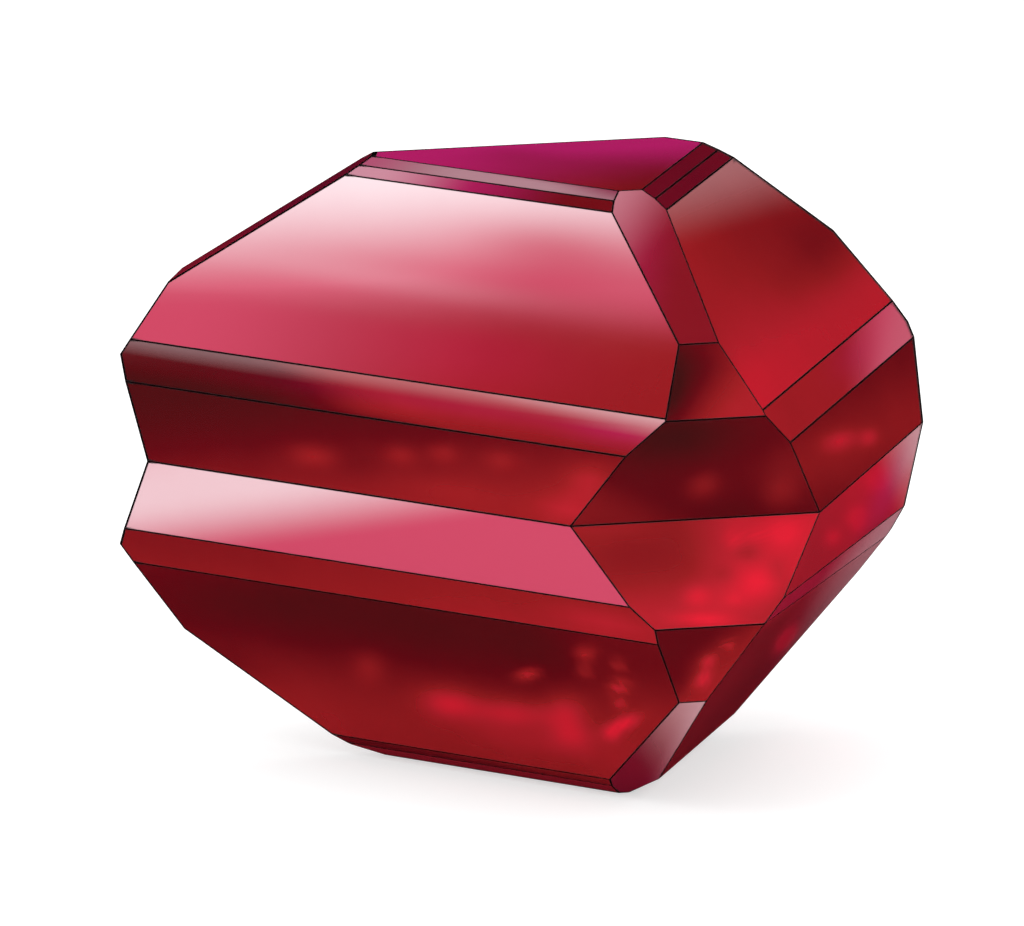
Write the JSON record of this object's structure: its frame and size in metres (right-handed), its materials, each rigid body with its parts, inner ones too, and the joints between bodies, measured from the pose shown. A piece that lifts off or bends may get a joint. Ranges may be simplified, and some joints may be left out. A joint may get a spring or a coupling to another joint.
{
  "type": "cinnabar crystal",
  "caption": "Raw cinnabar crystal: a stout deep-red penetration twin of rhombohedra, with flat basal ends, salient ridges and re-entrant grooves round its twin plane.",
  "frame": {"origin": "on the c axis, at the lower basal face that the crystal rests on", "axes": "+Z along the c axis, up; -Y out of the front re-entrant groove; +X to the right, across the longest extent"},
  "size_m": [0.0373, 0.0344, 0.0275],
  "materials": {
    "cinnabar": "natural crystal faces, adamantine lustre, deep cochineal red with brighter red glows inside"
  },
  "bodies": {
    "root": {"cinnabar_crystal": "cinnabar"}
  },
  "joints": []
}
